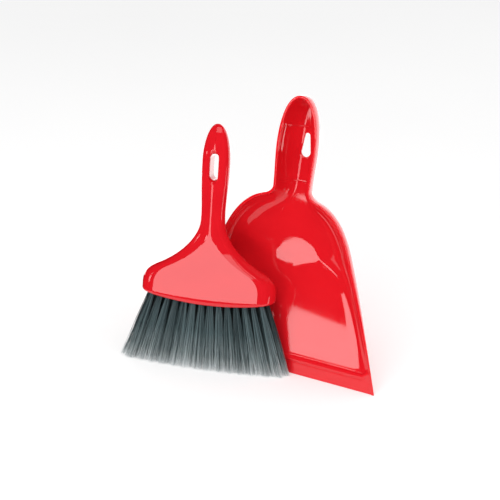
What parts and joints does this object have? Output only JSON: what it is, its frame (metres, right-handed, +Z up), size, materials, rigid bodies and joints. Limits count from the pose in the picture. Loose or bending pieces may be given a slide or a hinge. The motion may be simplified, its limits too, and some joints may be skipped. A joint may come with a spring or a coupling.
{
  "type": "dustpan and brush",
  "caption": "Moulded plastic dustpan with open trough handle, and hand brush with a flat fan of tufted bristles, standing side by side.",
  "frame": {"origin": "on the floor, under the middle of the pair", "axes": "+X along the dustpan's lip, +Z up, -Y towards the open side of the dustpan"},
  "size_m": [0.2943, 0.1506, 0.3044],
  "materials": {
    "pan_plastic": "polished injection-moulded polypropylene",
    "brush_plastic": "polished injection-moulded polypropylene",
    "block_plastic": "as moulded, drilled",
    "bristle": "crimped filament with flagged tips",
    "anchor_steel": "cut from flat wire"
  },
  "bodies": {
    "pan": {"dustpan": "pan_plastic"},
    "brush": {"brush_body": "brush_plastic", "tuft_block": "block_plastic", "tuft_front_01": "bristle", "tuft_front_02": "bristle", "tuft_front_03": "bristle", "tuft_front_04": "bristle", "tuft_front_05": "bristle", "tuft_front_06": "bristle", "tuft_front_07": "bristle", "tuft_front_08": "bristle", "tuft_front_09": "bristle", "tuft_front_10": "bristle", "tuft_front_11": "bristle", "tuft_front_12": "bristle", "tuft_front_13": "bristle", "tuft_front_14": "bristle", "tuft_middle_01": "bristle", "tuft_middle_02": "bristle", "tuft_middle_03": "bristle", "tuft_middle_04": "bristle", "tuft_middle_05": "bristle", "tuft_middle_06": "bristle", "tuft_middle_07": "bristle", "tuft_middle_08": "bristle", "tuft_middle_09": "bristle", "tuft_middle_10": "bristle", "tuft_middle_11": "bristle", "tuft_middle_12": "bristle", "tuft_middle_13": "bristle", "tuft_middle_14": "bristle", "tuft_middle_15": "bristle", "tuft_back_01": "bristle", "tuft_back_02": "bristle", "tuft_back_03": "bristle", "tuft_back_04": "bristle", "tuft_back_05": "bristle", "tuft_back_06": "bristle", "tuft_back_07": "bristle", "tuft_back_08": "bristle", "tuft_back_09": "bristle", "tuft_back_10": "bristle", "tuft_back_11": "bristle", "tuft_back_12": "bristle", "tuft_back_13": "bristle", "tuft_back_14": "bristle", "anchors_front": "anchor_steel", "anchors_middle": "anchor_steel", "anchors_back": "anchor_steel"}
  },
  "joints": [
    {"name": "brush_lift", "type": "slide", "parent": "pan", "child": "brush", "axis": [0, 0, 1], "range_m": [0, 0.35]}
  ]
}
